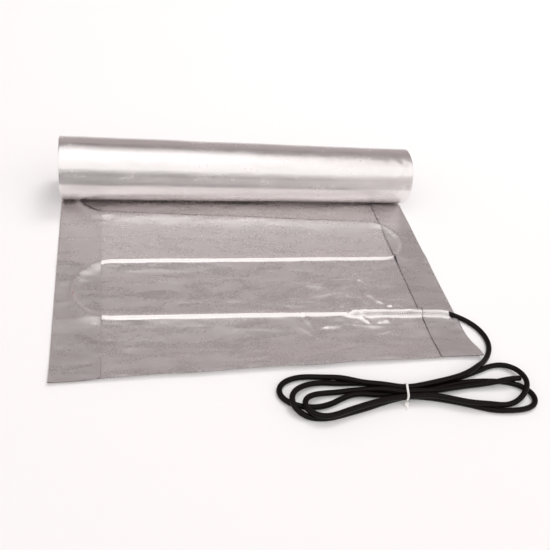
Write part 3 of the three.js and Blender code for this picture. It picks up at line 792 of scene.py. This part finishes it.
def roll_mesh():
    """The roll as one closed ring of sections: a section goes out along one end face, over the outer
    turn and back along the other end and the bore. The end faces carry one groove between each two
    turns, and each groove's radius grows by one turn with the angle, as a spiral's does. The outer
    turn has shallow dents, stripes over the cable below it, and creases near the right end."""
    turn = (ROLL_RADIUS - BORE_RADIUS) / TURN_COUNT
    radii, depths = [BORE_RADIUS], [0.0]
    for i in range(TURN_COUNT):
        low = BORE_RADIUS + i * turn
        radii += [low + 0.12 * turn, low + 0.35 * turn, low + 0.75 * turn, low + 0.95 * turn]
        depths += [1.5 if i else 0.3, 0.15, 0.0, 0.9 if i < TURN_COUNT - 1 else 0.12]
    radii, depths = np.array(radii), np.array(depths)
    body_x = np.linspace(-HALF_WIDTH + 0.3, HALF_WIDTH - 0.3, 170)
    # The angle starts under the axis and goes round by the back, over the top and down the front.
    angle = 2 * np.pi * (np.arange(180) + 0.5) / 180
    section_r = np.concatenate([radii, np.full(len(body_x), ROLL_RADIUS), radii[::-1]])
    section_x = np.concatenate([-HALF_WIDTH + depths, body_x, (HALF_WIDTH - depths)[::-1]])
    r = np.broadcast_to(section_r, (len(angle), len(section_r))).copy()
    x = np.broadcast_to(section_x, r.shape).copy()
    round_share = (angle / (2 * np.pi))[:, None]
    inside = np.clip((r - BORE_RADIUS) / turn, 0, 1) * np.clip((ROLL_RADIUS - r) / turn, 0, 1)
    r += (round_share - 0.5) * turn * 0.9 * inside
    arc = round_share * 2 * np.pi * ROLL_RADIUS
    outer = np.clip((r - ROLL_RADIUS + turn) / turn, 0, 1) ** 2
    dents = 0.35 * lattice_noise(x, arc + 40, 62, 61) + 0.14 * lattice_noise(x * 0.6, arc, 19, 62)
    dents += 0.05 * lattice_noise(x, arc, 6.5, 63)
    # Stripes over the cable below, as share of the way round, height and half width.
    stripes = 0.0
    for place, height, width in (
        (0.768, 0.16, 0.007), (0.79, 0.16, 0.006), (0.60, 0.1, 0.012), (0.45, 0.12, 0.014),
    ):
        stripes = stripes + height * np.exp(-((round_share - place) / width) ** 2)
    # The outer turn is slack: flat over the lower front, then bulging to a fold.
    slack = np.interp(round_share, [0.655, 0.676, 0.692, 0.709, 0.7408, 0.77, 0.87],
                      [0.0, -0.15, -0.35, 0.1, 1.65, 1.3, 0.0])
    crumple = smooth_step(200, 240, x) * (0.55 * lattice_noise(x * 1.2 + arc * 0.8, arc * 0.7 - x, 12, 64)
                                          + 0.15 * lattice_noise(x, arc, 6, 65))
    crumple = crumple * smooth_step(0.5, 0.58, round_share) * (1 - smooth_step(0.74, 0.8, round_share))
    shallow = smooth_step(0.02, 0.07, round_share) * (1 - smooth_step(0.95, 0.985, round_share))
    r += outer * (dents - 0.3 + stripes + slack + crumple) * shallow - 0.12 * outer
    rim = 0.7 * lattice_noise(arc, r * 3, 16, 66)
    x += np.where(np.abs(x) > HALF_WIDTH - 2, rim * np.sign(x) * 0.7 - 0.25 * np.sign(x), 0)
    # The roll is a little thicker towards its left end.
    thicker = 1 + 0.04 * smooth_step(HALF_WIDTH, -HALF_WIDTH, x)
    y = r * np.sin(angle)[:, None] * thicker
    z = (ROLL_RADIUS - r * np.cos(angle)[:, None]) * thicker
    points = np.stack([x, y, np.maximum(z, 0.02)], -1)
    faces = grid_quads(len(angle), len(section_r), close_rows=True, close_columns=True)
    uv = np.stack([x * MM + (r - ROLL_RADIUS) * MM * np.sign(x), arc * MM * np.ones_like(x)], -1)
    columns = np.tile(np.arange(len(section_r)), len(angle))
    ends = (columns < len(radii) - 1) | (columns >= len(radii) + len(body_x))
    return points.reshape(-1, 3), faces, uv.reshape(-1, 2), ends.astype(int)


def turn_edge_material(name):
    """The cut edges of the turns: foil edges streaked with adhesive."""
    material, tree, shader = new_material(name, (0.5, 0.48, 0.47), 0.5, 0.85)
    place = add_node(tree, "ShaderNodeTexCoord").outputs["Object"]
    streaks = noise_of(tree, place, 900, 4)
    tint = add_node(tree, "ShaderNodeMix", [
        (0, spread_of(tree, streaks, 0, 1)), (6, (0.2, 0.19, 0.185, 1)), (7, (0.62, 0.6, 0.59, 1)),
    ], data_type="RGBA")
    tree.links.new(tint.outputs[2], shader.inputs["Base Color"])
    tree.links.new(bump_of(tree, streaks, 0.5, 0.0002), shader.inputs["Normal"])
    return material


# Stage

FRONT_LIGHT = 1.15
CEILING_LIGHT = 1.45
FLOOR_HALF = 4
LAMP_PLACE = (0.9, 1.1, 2.6)
LAMP_SIZE = 1.1
LAMP_POWER = 26


def studio_world():
    """Studio light by direction: a pale ceiling, a mottled grey wall behind, and a dark strip low in
    front that fades towards the right. The backdrop itself is white."""
    world = bpy.data.worlds.new("studio")
    world.use_nodes = True
    tree = world.node_tree
    back = tree.nodes["Background"]
    direction = add_node(tree, "ShaderNodeTexCoord").outputs["Generated"]
    parts = add_node(tree, "ShaderNodeSeparateXYZ", [("Vector", direction)])
    side, depth, height = parts.outputs[0], parts.outputs[1], parts.outputs[2]
    ceiling = spread_of(tree, height, 0.0, 1.0, 0.87, 0.94)
    behind = spread_of(tree, depth, 0.0, 1.0, -0.25, 0.15)
    front_high = spread_of(tree, height, 0.0, 1.0, 0.27, 0.36)
    right = spread_of(tree, side, 0.0, 1.0, 0.06, 0.42)
    left = spread_of(tree, side, 1.0, 0.0, -0.75, -0.3)
    open_front = math_of(tree, "MAXIMUM", right, left)
    low_front = spread_of(tree, open_front, 0.03, 0.6, 0.0, 1.0)
    blend = lambda share, one, two: math_of(
        tree, "ADD", math_of(tree, "MULTIPLY", share, two),
        math_of(tree, "MULTIPLY", math_of(tree, "SUBTRACT", 1.0, share), one),
    )
    front = blend(front_high, low_front, FRONT_LIGHT)
    lower_wall = spread_of(tree, height, 0.62, 0.47, 0.1, 0.55)
    upper_wall = spread_of(tree, height, 0.47, 0.17, 0.69, 0.82)
    mottle = spread_of(tree, noise_of(tree, direction, 11, 3), 0.7, 1.3)
    wall = math_of(tree, "MULTIPLY", math_of(tree, "MINIMUM", lower_wall, upper_wall), mottle)
    level = blend(behind, front, wall)
    level = blend(ceiling, level, CEILING_LIGHT)
    seen = add_node(tree, "ShaderNodeLightPath").outputs["Is Camera Ray"]
    tree.links.new(blend(seen, level, 1.0), back.inputs["Strength"])
    paler = math_of(tree, "MAXIMUM", seen, spread_of(tree, level, 0.0, 1.0, 0.5, 1.1))
    tint = add_node(tree, "ShaderNodeMix", [
        (0, paler), (6, (1.0, 0.885, 0.895, 1)), (7, (1.0, 0.985, 0.98, 1)),
    ], data_type="RGBA")
    tree.links.new(tint.outputs[2], back.inputs["Color"])
    bpy.context.scene.world = world


def area_light(name, place, aim, size, power):
    light = bpy.data.lights.new(name, "AREA")
    light.size = size
    light.energy = power
    lamp = bpy.data.objects.new(name, light)
    lamp.location = place
    lamp.rotation_euler = (Vector(aim) - Vector(place)).to_track_quat("-Z", "Y").to_euler()
    lamp.visible_glossy = False
    bpy.context.scene.collection.objects.link(lamp)
    return lamp


class MAT_OT_stage(bpy.types.Operator):
    """Set up the floor, the soft light and the camera"""

    bl_idname = "heating_mat.stage"
    bl_label = "Stage"

    def execute(self, context):
        scene = context.scene
        scene.view_settings.view_transform = "Standard"
        camera = bpy.data.cameras.new("camera")
        camera.lens = VIEW_LENS
        camera.sensor_width = 36
        view = bpy.data.objects.new("camera", camera)
        view.location = in_metres(EYE)
        view.rotation_euler = [math.radians(turn) for turn in VIEW_TURN]
        scene.collection.objects.link(view)
        scene.camera = view
        material, tree, shader = new_material("floor_white", (0.86, 0.85, 0.845), 0.7)
        shader.inputs["Emission Color"].default_value = (1, 0.99, 0.985, 1)
        shader.inputs["Emission Strength"].default_value = 0.09
        place = add_node(tree, "ShaderNodeTexCoord").outputs["Object"]
        tree.links.new(spread_of(tree, noise_of(tree, place, 5), 0.65, 0.75), shader.inputs["Roughness"])
        mesh = bpy.data.meshes.new("floor")
        corners = [(x * FLOOR_HALF, y * FLOOR_HALF, 0) for x, y in ((-1, -1), (1, -1), (1, 1), (-1, 1))]
        mesh.from_pydata(corners, [], [(0, 1, 2, 3)])
        mesh.materials.append(material)
        floor = bpy.data.objects.new("floor", mesh)
        scene.collection.objects.link(floor)
        studio_world()
        area_light("key_light", LAMP_PLACE, (0, 0, 0), LAMP_SIZE, LAMP_POWER)
        return {"FINISHED"}


class MAT_OT_cold_lead(bpy.types.Operator):
    """Make the cold lead, folded into its hank, and the tie that holds it"""

    bl_idname = "heating_mat.cold_lead"
    bl_label = "Cold lead and tie"

    def execute(self, context):
        settings = context.scene.heating_mat
        diameter = settings.lead_diameter / MM
        line = lead_line(diameter)
        points, faces = tube_mesh(line, diameter / 2, 16)
        jacket = jacket_material("lead_jacket", settings.lead_colour, 0.42, gloss=0.13)
        lead = make_piece("cold_lead_cable", in_metres(points), faces, [jacket], sharp=50)
        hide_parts("cold_lead", "cold_lead_hank")
        points, faces = tie_mesh(diameter / 2)
        nylon = jacket_material("tie_nylon", settings.tie_colour, 0.4, 0.00002)
        tie = make_piece("nylon_tie", in_metres(points), faces, [nylon], sharp=50)
        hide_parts("cable_tie")
        return {"FINISHED"}


class MAT_OT_foils(bpy.types.Operator):
    """Make the laid length of the mat: the cover foil and the lower foil with its hems"""

    bl_idname = "heating_mat.foils"
    bl_label = "Laid foils"

    def execute(self, context):
        settings = context.scene.heating_mat
        ridge = settings.ridge_height / MM
        cover = foil_material("cover_foil_bright", settings)
        hem = foil_material("lower_foil_bright", settings, dull=0.03, shade=0.9)
        upper = finish_foil("cover_foil_sheet", *cover_mesh(ridge), cover, "cover_foil", "cover_foil")
        lower = finish_foil("lower_foil_sheet", *lower_mesh(ridge), hem, "lower_foil", "lower_foil")
        return {"FINISHED"}


class MAT_OT_roll(bpy.types.Operator):
    """Make the roll of the mat that isn't laid out"""

    bl_idname = "heating_mat.roll"
    bl_label = "Roll"

    def execute(self, context):
        settings = context.scene.heating_mat
        outside = foil_material("rolled_foil_bright", settings, dull=-0.08, crinkle=0.6, thread=0.0001)
        edges = turn_edge_material("rolled_foil_edges")
        points, faces, uv, ends = roll_mesh()
        finishes = [outside, edges]
        roll = make_piece("mat_roll_turns", in_metres(points), faces, finishes, uv, ends, sharp=40)
        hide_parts("mat_roll")
        return {"FINISHED"}


class MAT_OT_cable(bpy.types.Operator):
    """Give the heating cable and its joint sleeve their finish"""

    bl_idname = "heating_mat.cable"
    bl_label = "Heating cable and sleeve"

    def execute(self, context):
        finishes = {
            "heating_cable": jacket_material("heating_cable_jacket", (0.33, 0.05, 0.035), 0.45),
            "joint_sleeve": jacket_material("joint_sleeve_shrunk", (0.02, 0.018, 0.018), 0.5, 0.0001),
        }
        for name, material in finishes.items():
            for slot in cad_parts[name].material_slots:
                slot.material = material
        return {"FINISHED"}


STEPS = (MAT_OT_stage, MAT_OT_cold_lead, MAT_OT_foils, MAT_OT_roll, MAT_OT_cable)


class MAT_PT_panel(bpy.types.Panel):
    bl_idname = "MAT_PT_panel"
    bl_label = "Heating mat"
    bl_space_type = "VIEW_3D"
    bl_region_type = "UI"
    bl_category = "Heating mat"

    def draw(self, context):
        for name in HeatingMatSettings.__annotations__:
            self.layout.prop(context.scene.heating_mat, name)
        for step in STEPS:
            self.layout.operator(step.bl_idname)


CLASSES = (HeatingMatSettings, *STEPS, MAT_PT_panel)


def register():
    for entry in CLASSES:
        bpy.utils.register_class(entry)
    bpy.types.Scene.heating_mat = bpy.props.PointerProperty(type=HeatingMatSettings)


def unregister():
    del bpy.types.Scene.heating_mat
    for entry in reversed(CLASSES):
        bpy.utils.unregister_class(entry)


def main():
    register()
    bpy.ops.heating_mat.stage()
    bpy.ops.heating_mat.cold_lead()
    bpy.ops.heating_mat.foils()
    bpy.ops.heating_mat.roll()
    bpy.ops.heating_mat.cable()


if __name__ == "__main__":
    main()
